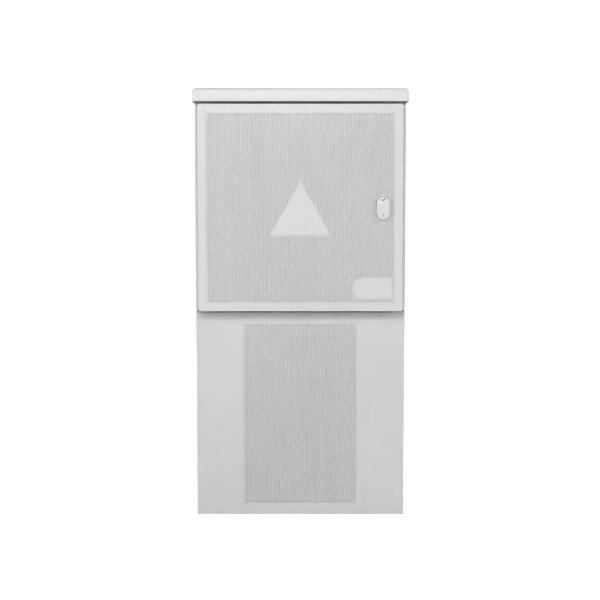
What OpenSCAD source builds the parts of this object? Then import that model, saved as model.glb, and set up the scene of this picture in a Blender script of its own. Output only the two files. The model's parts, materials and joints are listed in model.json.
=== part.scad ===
/* [Overall] */
// Width of the cabinet body
body_w = 600; // [560:5:700]
// Height from the ground line to the top of the roof
total_h = 1224; // [1180:2:1300]
// Height of the plinth
plinth_h = 590; // [540:2:610]
// Depth of the roof, front to back
roof_d = 280; // [270:2:330]
// Wall of the moulded panels
wall = 4; // [3:0.5:5]
// Width of the panels' inward flanges
flange_w = 32; // [28:1:36]

/* [Roof] */
// Height of the roof cap
roof_h = 37; // [30:1:50]
// Overhang of the roof past each side wall
roof_side = 5; // [5:0.5:12]
// Overhang of the roof past the door's face and past the rear wall
roof_over = 10; // [10:1:20]
// Rounding of the roof's upper edge
roof_round = 11; // [6:1:16]
// Rounding of the roof's corners in plan
roof_corner = 14; // [12:1:30]
// Height that the body's walls reach up inside the roof
roof_lap = 17; // [12:1:20]
// Radius of the roof's screw bosses
roof_boss_r = 8; // [6:0.5:10]

/* [Door] */
// Gap above and below the door
door_gap = 6.5; // [4:0.5:10]
// Depth of the door pan's rim
door_depth = 40; // [36:1:46]
// Draft of the rim at the sides
rim_draft = 11.5; // [6:0.5:14]
// Draft of the rim at top and bottom
rim_draft_z = 0.5; // [0.5:0.5:4]
// Rounding of the door's corners at its face
face_corner = 5; // [4:0.5:10]
// Rounding of the door's corners at the rim's rear edge
rim_corner = 14; // [8:0.5:20]
// Thickness of the door's panel
door_panel = 5; // [4.5:0.25:6]
// Space between the door pan's rear edge and the front frame
frame_gap = 13; // [13:0.5:18]
// Height of the screw bosses behind the door's panel
door_boss_h = 8; // [6:0.5:9]
// Radius of the screw bosses behind the door's panel
door_boss_r = 5.5; // [5:0.25:6.5]

/* [Ribbed fields] */
// Depth of a field below the face around it
field_deep = 2; // [1:0.25:2.5]
// Pitch of the door's ribs
rib_pitch = 7.3; // [6:0.1:10]
// Pitch of the plinth's ribs
plinth_rib_pitch = 7.75; // [6:0.1:10]
// Width of a rib at its crest
rib_crest = 3; // [2:0.25:3.5]
// Width of a rib at its foot
rib_foot = 5.2; // [4:0.1:5.6]
// Depth of the crests below the face
rib_below = 0.2; // [0.1:0.1:0.6]
// Margin from the door face's side edge to the field
field_side = 23; // [18:1:40]
// Margin from the door face's top and bottom edge to the field
field_end = 25; // [18:1:40]
// Width of the channel round a pad
pad_channel = 3.5; // [2:0.5:6]
// Base of the triangular pad
tri_w = 171; // [120:1:200]
// Height of the triangular pad
tri_h = 152; // [110:1:180]
// Width of the plate pad
plate_pad_w = 114; // [80:1:120]
// Height of the plate pad
plate_pad_h = 56; // [40:1:60]
// Distance of the plate pad from the field's right edge
plate_pad_side = 4.6; // [4:0.2:15]
// Distance of the plate pad from the field's bottom edge
plate_pad_up = 12; // [8:1:30]
// Width of the plinth's ribbed field
plinth_field_w = 323; // [200:1:420]
// Margin from the plinth's ends to its field
plinth_field_end = 34; // [25:1:60]
// Width of the rear wall's ribbed field
rear_field_w = 440; // [300:5:480]

/* [Front frame] */
// Inset of the neck from the body's side
neck_in = 38; // [36:1:44]
// Inset of the neck from the door's top and bottom edge
neck_in_z = 15.5; // [14:0.5:20]
// Length of the neck in front of the frame
neck_len = 32; // [28:1:34]
// Width of the door seal
seal_w = 8; // [6:0.5:10]
// Running gap left open between the seal and the neck
seal_gap = 0.3; // [0.3:0.1:0.8]

/* [Hinges] */
// Distance of the hinge axis from the body's side
hinge_in = 5; // [5:0.1:6]
// Distance of the hinge axis behind the door pan's rear edge
hinge_back = 4.5; // [4.5:0.1:5]
// Radius of the hinge pins
pin_r = 2.5; // [2:0.1:2.6]
// Radius of the hinge knuckles
knuckle_r = 4.2; // [4:0.05:4.2]
// Running clearance of pins and shafts, on the radius
run_fit = 0.05; // [0.02:0.01:0.1]
// Distance of a hinge from the door's top or bottom edge
hinge_end = 105; // [80:1:150]
// Half the height of a hinge
hinge_half = 30; // [28:1:40]
// Half the height of the door's own knuckle
arm_half = 11.5; // [9:0.5:14]
// Gap between knuckles
knuckle_gap = 0.5; // [0.3:0.1:1]
// Thickness of the hinge plates
leaf = 3; // [2.5:0.25:3.5]

/* [Lock] */
// Distance of the lock from the door face's right edge
lock_in = 55; // [54:0.5:60]
// Width of the lock's swinging cover
cover_w = 37.6; // [32:0.2:42]
// Height of the lock's swinging cover
cover_h = 65.8; // [56:0.2:72]
// Thickness of the swinging cover
cover_t = 4; // [3:0.25:4.25]
// Border of the escutcheon round the cover
escutcheon_rim = 3.2; // [2:0.2:5]
// Height of the escutcheon above the door's face
escutcheon_t = 3.5; // [3:0.25:3.5]
// Distance of the cover's pin below the cover's top
cover_pin_in = 8.5; // [7:0.5:12]
// Radius of the cover's pin
cover_pin_r = 2.5; // [2:0.1:3]
// Air gap between parts that pass each other
air = 0.3; // [0.3:0.05:0.6]
// Radius of the lock's spindle in the escutcheon
spindle_r = 7; // [6.5:0.1:7.5]
// Radius of the spindle in the pinion
spindle_tail_r = 5; // [4.5:0.1:5.5]
// Width of the square key socket
key_w = 8; // [6:0.25:9]
// Teeth of the pinion
teeth = 16; // [14:1:18]
// Module of the pinion's teeth
tooth_m = 1.25; // [1.15:0.05:1.3]
// Play between the teeth of pinion and racks, at each flank
backlash = 0.3; // [0.2:0.02:0.4]
// Thickness of rods and pinion, front to back
rod_t = 6; // [5:0.5:7]
// Width of a rod behind its teeth
rod_w = 6; // [5:0.25:6.5]
// Distance of the rods behind the neck's front edge
rod_in = 11; // [10:0.5:13]
// Gap between a rod's end and the neck, unlocked
rod_end_gap = 3; // [2:0.5:5]
// Wall of the lock case and the rod guides
case_wall = 2; // [1.5:0.25:2.25]
// Half the height of the lock case
case_half = 32; // [31:1:40]
// Distance of a rod guide from the neck
guide_in = 60; // [40:1:90]

/* [Equipment] */
// Width of the mounting plate
plate_w = 400; // [390:2:460]
// Distance of the mounting plate above the plinth
plate_up = 60; // [50:1:70]
// Distance of the mounting plate below the roof
plate_down = 57; // [50:1:70]
// Thickness of the mounting plate
plate_t = 3; // [2:0.5:4]
// Length of the posts behind the mounting plate
post_len = 12; // [8:1:14]
// Width of a fuse switch
fuse_w = 106; // [100:1:112]
// Height of a fuse switch
fuse_h = 190; // [184:1:190]
// Pitch of the fuse switches
fuse_pitch = 125; // [118:1:128]
// Distance of the fuse switches above the earth bar
fuse_up = 40; // [35:1:60]
// Depth of a fuse switch's base
fuse_base_d = 38; // [36:0.5:40]
// Depth of a fuse switch's lid
lid_d = 48; // [44:0.5:48]
// Wall of a fuse switch's lid
lid_wall = 2.5; // [2:0.25:3]
// Pitch of the poles in a fuse switch
pole_pitch = 33; // [32:0.5:34]
// Height of a fuse link's ceramic body
link_h = 52; // [46:1:56]
// Width of a fuse link's ceramic body
link_w = 28; // [24:0.5:29]
// Height of a busbar
bar_h = 25; // [20:1:30]
// Thickness of a busbar
bar_t = 5; // [4:0.5:6]
// Spacing of the busbars in height
bar_rise = 35; // [33:1:38]
// Spacing of the busbars in depth
bar_step = 11; // [9:0.5:11.5]
// Distance of the lowest busbar above the fuse switches
bar_up = 60; // [40:1:64]
// Distance of the highest busbar below the mounting plate's upper edge
bar_down = 45; // [40:1:60]
// Height of the earth bar
pen_h = 30; // [24:1:36]
// Distance of the earth bar above the mounting plate's lower edge
pen_up = 20; // [15:1:30]

/* [Plinth] */
// Distance of the plinth's face behind the door's face
plinth_back = 40; // [30:1:44]
// Radius of the anchor holes in the base flange
anchor_r = 7; // [5:0.5:9]
// Distance of the anchor holes from the plinth's side
anchor_in = 22; // [18:1:24]
// Distance of the anchor holes from the plinth's front and back
anchor_end = 45; // [35:1:60]
// Height of the cable rail below the plinth's top
rail_down = 150; // [120:5:220]
// Height of the cable rail's section
rail_h = 40; // [30:1:50]
// Depth of the cable rail's section
rail_d = 22; // [18:1:26]
// Pitch of the cable saddles
saddle_pitch = 100; // [80:2:120]
// Radius of a cable saddle's bow
saddle_r = 20; // [14:1:26]

/* [Hidden] */
$fn = 48;
pale = [0.85, 0.853, 0.86];
grey = [0.78, 0.783, 0.79];
zinc = [0.62, 0.63, 0.65];
dark = [0.16, 0.16, 0.17];
copper = [0.75, 0.45, 0.3];
ivory = [0.9, 0.88, 0.82];
slate = [0.33, 0.35, 0.37];

// Overlap that makes cuts and unions clean
eps = 0.5;
// Fit of a bolt in a clearance hole, on the radius
bolt_fit = 0.3;
bolt_r = 3;
bolt_head_r = 5.5;
bolt_head_h = 4;
nut_h = 5;
// Material left under a blind hole, and the room left under a bolt's tip
blind_floor = 1;
tip_gap = 0.5;
screw_r = 2;
screw_head_r = 3.6;
screw_head_h = 2.6;

// Planes across the depth, front is the negative side
body_hw = body_w / 2;
roof_y = roof_d / 2;
face_y = -roof_y + roof_over;
back_y = roof_y - roof_over;
panel_y = face_y + door_panel;
rim_y = face_y + door_depth;
frame_y = rim_y + frame_gap;
neck_y = frame_y - neck_len;
plinth_y = face_y + plinth_back;
boss_y = panel_y + door_boss_h;

// Levels
roof_z = total_h - roof_h;
wall_top = roof_z + roof_lap;
door_z0 = plinth_h + door_gap;
door_z1 = roof_z - door_gap;
door_mid = (door_z0 + door_z1) / 2;
neck_hw = body_hw - neck_in;
neck_z0 = door_z0 + neck_in_z;
neck_z1 = door_z1 - neck_in_z;

// Door face and its field
face_hw = body_hw - rim_draft;
face_z0 = door_z0 + rim_draft_z;
face_z1 = door_z1 - rim_draft_z;
field_hw = face_hw - field_side;
field_z0 = face_z0 + field_end;
field_z1 = face_z1 - field_end;

// Hinges
axis_x = -body_hw + hinge_in;
axis_y = rim_y + hinge_back;
hinge_zs = [door_z1 - hinge_end, door_z0 + hinge_end];
crank_in = 11;
crank_t = leaf + 1;
arm_bolt_in = 4;
arm_bolt_dz = 6.5;
arm_tab = 5;
bracket_in = 24;
bracket_tab = 6;
bracket_bolt_end = 8;
arm_x0 = axis_x + crank_in;
arm_x1 = arm_x0 + crank_t;
arm_bolt_x = arm_x1 + arm_bolt_in;
bracket_x = axis_x + bracket_in;
bracket_bolt_dz = hinge_half - bracket_bolt_end;

// Lock
lock_x = face_hw - lock_in;
lock_z = door_mid;
pitch_r = teeth * tooth_m / 2;
rod_y = neck_y + rod_in;
rod_y0 = rod_y - rod_t / 2;
rod_y1 = rod_y + rod_t / 2;
rod_travel = pitch_r * PI / 2;
pressure_angle = 20;
tooth_top = 0.9 * tooth_m;
tooth_foot = 1.25 * tooth_m;
rack_root = pitch_r + tooth_foot;
rod_far = rack_root + rod_w;
rod_play = 0.7;
rod_slot_gap = 1;
case_play = 1;
case_y1 = rod_y1 + case_play + case_wall;
case_hw = rod_far + rod_play + case_wall;
cover_y1 = face_y - escutcheon_t - air;
cover_y0 = cover_y1 - cover_t;
cover_pin_z = lock_z + cover_h / 2 - cover_pin_in;
spindle_sunk = 0.5;
key_deep = 12;
guide_zs = [neck_z1 - guide_in, neck_z0 + guide_in];
rod_xs = [lock_x - rack_root - rod_w / 2, lock_x + rack_root + rod_w / 2];
case_tab = 12;
case_tab_w = 16;
guide_half = 7;
guide_tab = 14;

// Equipment
rear_in = back_y - wall;
plate_y1 = rear_in - post_len;
plate_y0 = plate_y1 - plate_t;
post_r = 8;
post_in = 10;
post_dz = 20;
post_xs = plate_w / 2 - post_in;

// Heights of the equipment: its named gaps share what the body's height leaves
bars_h = 2 * bar_rise + bar_h;
body_free = roof_z - plinth_h - pen_h - fuse_h - bars_h;
spread = body_free / (plate_up + pen_up + fuse_up + bar_up + bar_down + plate_down);
plate_z0 = plinth_h + spread * plate_up;
plate_z1 = roof_z - spread * plate_down;
pen_z = plate_z0 + spread * pen_up + pen_h / 2;
fuse_z0 = pen_z + pen_h / 2 + spread * fuse_up;
fuse_z1 = fuse_z0 + fuse_h;
bar_z0 = fuse_z1 + spread * bar_up;

// Fuse switches: the base with its ears, the lid with its grip, windows and holders, the links
fuse_xs = [-fuse_pitch, 0, fuse_pitch];
pole_dxs = [-pole_pitch, 0, pole_pitch];
base_y0 = plate_y0 - fuse_base_d;
base_floor = 9;
pocket_y = plate_y0 - base_floor;
pole_wall = 3;
chamber_end = 16;
ear_t = 4;
ear_h = 20;
ear_out = 6;
ear_gap = 2;
trunnion_r = 3;
trunnion_in = 1;
lid_gap = 0.5;
lid_y1 = base_y0 - lid_gap;
lid_y0 = lid_y1 - lid_d;
pivot_out = 11;
pivot_up = 10;
lid_pivot_y = base_y0 - pivot_out;
lid_pivot_z = fuse_z0 + pivot_up;
lid_foot = 2;
lid_head = 4;
lid_z0 = lid_pivot_z - lid_foot;
lid_z1 = fuse_z1 - lid_head;
sill_z0 = 1;
sill_z1 = 4;
cheek_t = 3;
hub_r = 5;
grip_out = 14;
grip_t = 5;
grip_h = 18;
grip_w = 60;
grip_leg = 6;
grip_down = 30;
window_w = 18;
window_h = 26;
window_down = 20;
holder_w = 14;
holder_h = 30;
link_up = 5;
link_d = 30;
link_back = 2;
link_z = fuse_z0 + fuse_h / 2 + link_up;
link_y1 = lid_y1 - link_back;
link_y0 = link_y1 - link_d;
blade_h = 14;
blade_t = 6;
blade_in = 10;
blade_front = 8;
blade_root = 2;
blade_zs = [link_z - link_h / 2 - blade_h, link_z + link_h / 2];
jaw_t = 2;
jaw_gap = 0.5;
jaw_floor = 3;

// Busbars and earth bar
bar_off = 6;
bar_over = 4;
bar_hw = fuse_pitch + fuse_w / 2 + bar_over;
tongue_w = 16;
support_in = 8;
support_half = 5;
support_wall = 6;
support_xs = [-bar_hw + support_in, bar_hw - support_in];
pen_off = 25;
pen_y = plate_y0 - pen_off;
pen_hw = fuse_pitch + fuse_w / 2;
pen_support_r = 11;
pen_support_in = 20;
pen_support_x = pen_hw - pen_support_in;
pen_hole = 10;

// Cable space
rail_z = plinth_h - rail_down;
rail_y = 40;
rail_end = 18;
rail_hw = body_hw - wall - rail_end;
rail_t = 2.5;
rail_lip = 9;
rail_mid_y = rail_y + rail_d / 2;
rail_bolt_down = 20;
rail_bolt_pitch = 24;
rail_bolt_zs = [rail_z - rail_bolt_down, rail_z - rail_bolt_down - rail_bolt_pitch];
rail_nut_t = 4;
rail_nut_gap = 0.5;
rail_nut_w = 14;
bracket_t = 4;
bracket_reach = 45;
bracket_leg = 60;
bracket_rim = 4;
saddle_t = 4;
saddle_foot = 14;
saddle_half = 8;
saddle_bolt_dx = saddle_r + saddle_t + saddle_foot / 2;
saddle_xs = [for (i = [-1.5 : 1.5]) i * saddle_pitch];

// A block between two corners
module block(a, b) {
    translate(a) cube(b - a);
}

// A drawing in width and height, made thick from y0 to y1
module slab(y0, y1) {
    translate([0, y1, 0]) rotate([90, 0, 0]) linear_extrude(y1 - y0) children();
}

// A round bar along the depth
module y_bar(x, z, r, y0, y1, sides = $fn) {
    translate([x, y1, z]) rotate([90, 0, 0]) cylinder(r = r, h = y1 - y0, $fn = sides);
}

// A round bar across the width
module x_bar(y, z, r, x0, x1) {
    translate([x0, y, z]) rotate([0, 90, 0]) cylinder(r = r, h = x1 - x0);
}

// A bolt along the depth: its head lies on y_seat and its shank points along dir
module y_bolt(x, z, y_seat, dir, shank, r, head_r, head_h, sides = 6) {
    y_head = y_seat - dir * head_h;
    y_tip = y_seat + dir * shank;
    y_bar(x, z, head_r, min(y_head, y_seat), max(y_head, y_seat), sides);
    y_bar(x, z, r, min(y_head + dir * eps, y_tip), max(y_head + dir * eps, y_tip));
}

// Outline of a rectangle with round corners, anticlockwise
function round_rect(x0, y0, x1, y1, r, steps = 6) = [
    for (c = [[x1 - r, y0 + r, -90], [x1 - r, y1 - r, 0], [x0 + r, y1 - r, 90], [x0 + r, y0 + r, 180]])
        for (i = [0 : steps])
            [c[0] + r * cos(c[2] + 90 * i / steps), c[1] + r * sin(c[2] + 90 * i / steps)]
];

// A solid through a stack of level outlines with the same count of points
module skin(outlines, levels) {
    n = len(outlines[0]);
    m = len(outlines);
    points = [for (k = [0 : m - 1]) for (p = outlines[k]) [p[0], p[1], levels[k]]];
    sides = [for (k = [0 : m - 2]) for (i = [0 : n - 1])
        [k * n + i, (k + 1) * n + i, (k + 1) * n + (i + 1) % n, k * n + (i + 1) % n]];
    lower = [for (i = [0 : n - 1]) i];
    upper = [for (i = [n - 1 : -1 : 0]) (m - 1) * n + i];
    polyhedron(points, concat([lower], sides, [upper]));
}

// Section of a ribbed field: crests near y = 0, its back buried in the panel
function comb(half, pitch) =
    let (n = floor((2 * half - 1) / pitch), deep = field_deep)
    concat(
        [[-half, deep + eps], [-half, deep]],
        [for (i = [0 : n - 1]) let (c = (i - (n - 1) / 2) * pitch)
            each [[c - rib_foot / 2, deep], [c - rib_crest / 2, rib_below],
                [c + rib_crest / 2, rib_below], [c + rib_foot / 2, deep]]],
        [[half, deep], [half, deep + eps]]);

// Ribs standing in a field, from z0 to z1, on a face at y
module ribs(half, pitch, y, z0, z1) {
    translate([0, y, z0]) linear_extrude(z1 - z0) polygon(comb(half, pitch));
}

// Roof

module roof_shell(inset, z0, z1) {
    steps = 5;
    r = roof_round - inset;
    outs = [inset, for (i = [0 : steps]) inset + r * (1 - cos(90 * i / steps))];
    x = body_hw + roof_side;
    skin([for (o = outs) round_rect(-x + o, -roof_y + o, x - o, roof_y - o, max(roof_corner - o, 1))],
        [z0, for (i = [0 : steps]) z1 - r + r * sin(90 * i / steps)]);
}

// Places of the bolts in the panels' flanges: uprights, roof screws and the joint with the plinth
flange_bolt_x = body_hw - wall - flange_w / 2;
roof_screw_in = 20;
roof_screw_ys = [frame_y + 2 * wall + roof_screw_in, back_y - 2 * wall - roof_screw_in];
joint_in = 18;
joint_ys = [frame_y + 2 * wall + joint_in, (frame_y + back_y) / 2, back_y - 2 * wall - joint_in];

roof_screw_len = roof_h - roof_lap - 2 * wall;

module roof() {
    color(pale) {
        difference() {
            roof_shell(0, roof_z, total_h);
            roof_shell(wall, roof_z - 1, total_h - wall);
        }
        for (x = [-flange_bolt_x, flange_bolt_x], y = roof_screw_ys)
            translate([x, y, wall_top]) difference() {
                cylinder(r = roof_boss_r, h = total_h - wall + eps - wall_top);
                translate([0, 0, -eps]) cylinder(r = bolt_r + run_fit, h = eps + roof_screw_len);
            }
    }
}

module roof_screws() {
    color(zinc) for (x = [-flange_bolt_x, flange_bolt_x], y = roof_screw_ys)
        translate([x, y, wall_top - wall - bolt_head_h]) {
            cylinder(r = bolt_head_r, h = bolt_head_h, $fn = 6);
            cylinder(r = bolt_r, h = bolt_head_h + wall + roof_screw_len - blind_floor);
        }
}

// Walls of body and plinth

// Bolt rows along an upright flange
flange_bolt_end = 45;
function bolt_zs(z0, z1) =
    [for (i = [0 : 3]) z0 + flange_bolt_end + i * (z1 - z0 - 2 * flange_bolt_end) / 3];

// Right-hand side panel: skin from y0 to y1, flanges lying against planes f0 and f1, ribbed outside
module side_panel(y0, y1, f0, f1, z0, z1, margin, pitch) {
    x1 = body_hw;
    x0 = body_hw - wall;
    xf = x0 - flange_w;
    field_y = (y0 + y1) / 2;
    half = (y1 - y0) / 2 - field_side;
    difference() {
        union() {
            block([x0, y0, z0], [x1, y1, z1]);
            block([xf, f0, z0], [x1 - eps, f0 + wall, z1]);
            block([xf, f1 - wall, z0], [x1 - eps, f1, z1]);
            block([xf, f0 + eps, z0], [x1 - eps, f1 - eps, z0 + wall]);
            block([xf, f0 + eps, z1 - wall], [x1 - eps, f1 - eps, z1]);
        }
        block([x1 - field_deep, field_y - half, z0 + margin], [x1 + 1, field_y + half, z1 - margin]);
        for (z = bolt_zs(z0, z1)) {
            y_bar(flange_bolt_x, z, bolt_r + bolt_fit, f0 - eps, f0 + wall + eps);
            y_bar(flange_bolt_x, z, bolt_r + bolt_fit, f1 - wall - eps, f1 + eps);
        }
    }
    translate([x1, field_y, 0]) rotate([0, 0, 90]) ribs(half, pitch, 0, z0 + margin, z1 - margin);
}

// Blind holes for the flange bolts in a panel whose inner face lies at y
module flange_bolt_holes(y, dir, z0, z1) {
    y_tip = y + dir * (wall - blind_floor);
    for (x = [-flange_bolt_x, flange_bolt_x], z = bolt_zs(z0, z1))
        y_bar(x, z, bolt_r + run_fit, min(y - dir * eps, y_tip), max(y - dir * eps, y_tip));
}

module flange_bolts(y, dir, z0, z1) {
    for (x = [-flange_bolt_x, flange_bolt_x], z = bolt_zs(z0, z1))
        y_bolt(x, z, y - dir * wall, dir, 2 * wall - blind_floor - tip_gap, bolt_r, bolt_head_r, bolt_head_h);
}

module upright_holes(ys, x, r, z) {
    for (y = ys)
        translate([x, y, z - eps]) cylinder(r = r, h = wall + 2 * eps);
}

// Margin of the body's ribbed fields, which ends as far below the roof as above the plinth
body_field_end = field_end + roof_lap;

module body_wall() {
    difference() {
        side_panel(frame_y, back_y, frame_y + wall, rear_in, plinth_h, wall_top, body_field_end, rib_pitch);
        upright_holes(joint_ys, flange_bolt_x, bolt_r + bolt_fit, plinth_h);
        upright_holes(roof_screw_ys, flange_bolt_x, bolt_r + bolt_fit, wall_top - wall);
    }
}

// Places of the bolts that hold a hinge bracket
function bracket_bolts() = [for (z = hinge_zs, s = [-1, 1]) z + s * bracket_bolt_dz];

module left_wall() {
    color(pale) difference() {
        mirror([1, 0, 0]) body_wall();
        for (z = bracket_bolts())
            y_bar(bracket_x, z, bolt_r + bolt_fit, frame_y + wall - eps, frame_y + 2 * wall + eps);
    }
}

module right_wall() {
    color(pale) body_wall();
}

rear_hw = body_hw - wall - eps;

// Rear panel, ribbed on its outside, seated on the side panels' rear flanges
module rear_panel(z0, z1, field_w, margin, pitch) {
    difference() {
        block([-rear_hw, rear_in, z0], [rear_hw, back_y, z1]);
        block([-field_w / 2, back_y - field_deep, z0 + margin], [field_w / 2, back_y + 1, z1 - margin]);
        flange_bolt_holes(rear_in, 1, z0, z1);
    }
    mirror([0, 1, 0]) ribs(field_w / 2, pitch, -back_y, z0 + margin, z1 - margin);
}

module rear_wall() {
    color(pale) rear_panel(plinth_h, wall_top, rear_field_w, body_field_end, rib_pitch);
}

module front_frame() {
    rod_slot_w = rod_w + 2 * rod_slot_gap;
    rod_slot_t = rod_t + 2 * rod_slot_gap;
    color(pale) difference() {
        union() {
            block([-rear_hw, frame_y, plinth_h], [rear_hw, frame_y + wall, wall_top]);
            block([-neck_hw, neck_y, neck_z0], [neck_hw, frame_y + eps, neck_z1]);
        }
        block([-neck_hw + wall, neck_y - 1, neck_z0 + wall],
            [neck_hw - wall, frame_y + wall + 1, neck_z1 - wall]);
        flange_bolt_holes(frame_y + wall, -1, plinth_h, wall_top);
        for (z = bracket_bolts())
            y_bar(bracket_x, z, bolt_r + bolt_fit, frame_y - eps, frame_y + wall + eps);
        translate([rod_xs[0] - rod_slot_w / 2, rod_y - rod_slot_t / 2, neck_z1 - wall - eps])
            cube([rod_slot_w, rod_slot_t, wall + 2 * eps]);
        translate([rod_xs[1] - rod_slot_w / 2, rod_y - rod_slot_t / 2, neck_z0 - eps])
            cube([rod_slot_w, rod_slot_t, wall + 2 * eps]);
    }
}

module wall_bolts() {
    color(zinc) {
        flange_bolts(rear_in, 1, plinth_h, wall_top);
        flange_bolts(frame_y + wall, -1, plinth_h, wall_top);
    }
}

// Door

// Outline of the door pan, drafted by share t of the rim's depth and set in by inset
function door_outline(t, inset) = round_rect(
    -body_hw + t * rim_draft + inset, door_z0 + t * rim_draft_z + inset,
    body_hw - t * rim_draft - inset, door_z1 - t * rim_draft_z - inset,
    rim_corner + t * (face_corner - rim_corner) - inset / 2);

module door_pan() {
    t_panel = 1 - door_panel / door_depth;
    t_open = -1 / door_depth;
    rotate([90, 0, 0]) difference() {
        skin([door_outline(0, 0), door_outline(1, 0)], [-rim_y, -face_y]);
        skin([door_outline(t_open, wall), door_outline(t_panel, wall)], [-rim_y - 1, -panel_y]);
    }
}

// Triangular pad, grown by c on all sides
module tri_pad(c) {
    side = sqrt(pow(tri_w / 2, 2) + pow(tri_h, 2));
    in_r = tri_w * tri_h / (tri_w + 2 * side);
    k = 1 + c / in_r;
    translate([0, door_mid - tri_h / 2 + in_r])
        polygon([[-tri_w / 2 * k, -in_r * k], [tri_w / 2 * k, -in_r * k], [0, (tri_h - in_r) * k]]);
}

// Plate pad with a round left end, grown by c
module plate_pad(c) {
    r = plate_pad_h / 2;
    x1 = field_hw - plate_pad_side;
    translate([x1 - plate_pad_w + r, field_z0 + plate_pad_up + r]) {
        circle(r + c);
        translate([0, -r - c]) square([plate_pad_w - r + c, 2 * (r + c)]);
    }
}

// Upright oval with round ends
module oval(w, h) {
    for (s = [-1, 1])
        translate([0, s * (h - w) / 2]) circle(w / 2);
    square([w, h - w], center = true);
}

module lock_oval(c) {
    translate([lock_x, lock_z]) oval(cover_w + 2 * c, cover_h + 2 * c);
}

case_screw_zs = [lock_z - case_half - case_tab / 2, lock_z + case_half + case_tab / 2];
guide_screw_dx = rod_w / 2 + case_wall + air + guide_tab / 2;

// Places of all screw bosses behind the door's panel
function door_bosses() = concat(
    [for (z = hinge_zs, s = [-1, 1]) [arm_bolt_x, z + s * arm_bolt_dz]],
    [for (z = case_screw_zs) [lock_x, z]],
    [for (i = [0, 1]) [rod_xs[i] - guide_screw_dx, guide_zs[i]]]);

module door() {
    color(pale) difference() {
        union() {
            difference() {
                door_pan();
                slab(face_y - 1, face_y + field_deep) difference() {
                    translate([-field_hw, field_z0]) square([2 * field_hw, field_z1 - field_z0]);
                    tri_pad(0);
                    plate_pad(0);
                    lock_oval(escutcheon_rim);
                }
            }
            difference() {
                ribs(field_hw, rib_pitch, face_y, field_z0, field_z1);
                slab(face_y - 1, face_y + field_deep) {
                    tri_pad(pad_channel);
                    plate_pad(pad_channel);
                    lock_oval(escutcheon_rim + pad_channel);
                }
            }
            for (p = door_bosses())
                y_bar(p[0], p[1], door_boss_r, panel_y - eps, boss_y);
        }
        for (p = door_bosses())
            y_bar(p[0], p[1], screw_r + run_fit, panel_y, boss_y + eps);
        y_bar(lock_x, lock_z, spindle_r + air, face_y - 1, panel_y + 1);
        y_bar(lock_x, cover_pin_z, cover_pin_r + run_fit, face_y - 1, panel_y + 1);
    }
}

module door_seal() {
    out = neck_hw - wall / 2 + seal_w / 2;
    z0 = neck_z0 + wall / 2 - seal_w / 2;
    z1 = neck_z1 - wall / 2 + seal_w / 2;
    color(dark) difference() {
        block([-out, panel_y, z0], [out, neck_y - seal_gap, z1]);
        block([-out + seal_w, panel_y - 1, z0 + seal_w], [out - seal_w, neck_y + 1, z1 - seal_w]);
    }
}

// Hinges

// Plan of the cranked arm from the knuckle to the plate on the door's bosses
module arm_plan() {
    plate_y = boss_y;
    polygon([[axis_x, axis_y - leaf / 2], [arm_x0, axis_y - leaf / 2], [arm_x0, plate_y],
        [arm_bolt_x + arm_tab, plate_y], [arm_bolt_x + arm_tab, plate_y + leaf], [arm_x1, plate_y + leaf],
        [arm_x1, axis_y + leaf / 2], [axis_x, axis_y + leaf / 2]]);
}

module hinge_arm(z) {
    color(zinc) difference() {
        union() {
            translate([0, 0, z - arm_half]) linear_extrude(2 * arm_half) arm_plan();
            translate([axis_x, axis_y, z - arm_half]) cylinder(r = knuckle_r, h = 2 * arm_half);
        }
        translate([axis_x, axis_y, z - hinge_half]) cylinder(r = pin_r + run_fit, h = 2 * hinge_half);
        for (s = [-1, 1])
            y_bar(arm_bolt_x, z + s * arm_bolt_dz, screw_r + bolt_fit, boss_y - eps, boss_y + leaf + eps);
    }
}

module hinge_bracket(z) {
    knuckle_h = hinge_half - arm_half - knuckle_gap;
    color(zinc) difference() {
        union() {
            block([axis_x + leaf, frame_y - leaf, z - hinge_half],
                [bracket_x + bracket_tab, frame_y, z + hinge_half]);
            for (z0 = [z - hinge_half, z + hinge_half - knuckle_h]) {
                translate([axis_x, axis_y, z0]) cylinder(r = knuckle_r, h = knuckle_h);
                block([axis_x, axis_y, z0], [axis_x + knuckle_r, frame_y - eps, z0 + knuckle_h]);
            }
        }
        translate([axis_x, axis_y, z - hinge_half - eps])
            cylinder(r = pin_r + run_fit, h = 2 * hinge_half + 2 * eps);
        for (s = [-1, 1])
            y_bar(bracket_x, z + s * bracket_bolt_dz, bolt_r + bolt_fit,
                frame_y - leaf - eps, frame_y + eps);
    }
}

module hinge_pin(z) {
    head_h = 2;
    head_in = 0.2;
    color(zinc) translate([axis_x, axis_y, z - hinge_half]) {
        cylinder(r = pin_r, h = 2 * hinge_half + eps);
        translate([0, 0, 2 * hinge_half]) cylinder(r = knuckle_r - head_in, h = head_h);
    }
}

module upper_hinge_arm() { hinge_arm(hinge_zs[0]); }
module lower_hinge_arm() { hinge_arm(hinge_zs[1]); }
module upper_hinge_bracket() { hinge_bracket(hinge_zs[0]); }
module lower_hinge_bracket() { hinge_bracket(hinge_zs[1]); }
module upper_hinge_pin() { hinge_pin(hinge_zs[0]); }
module lower_hinge_pin() { hinge_pin(hinge_zs[1]); }

module hinge_bolts() {
    seat = frame_y - leaf;
    color(zinc) for (z = bracket_bolts()) {
        y_bolt(bracket_x, z, seat, 1, leaf + 2 * wall + nut_h, bolt_r, bolt_head_r, bolt_head_h);
        y_bar(bracket_x, z, bolt_head_r, frame_y + 2 * wall, frame_y + 2 * wall + nut_h, 6);
    }
}

// Lock

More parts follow.
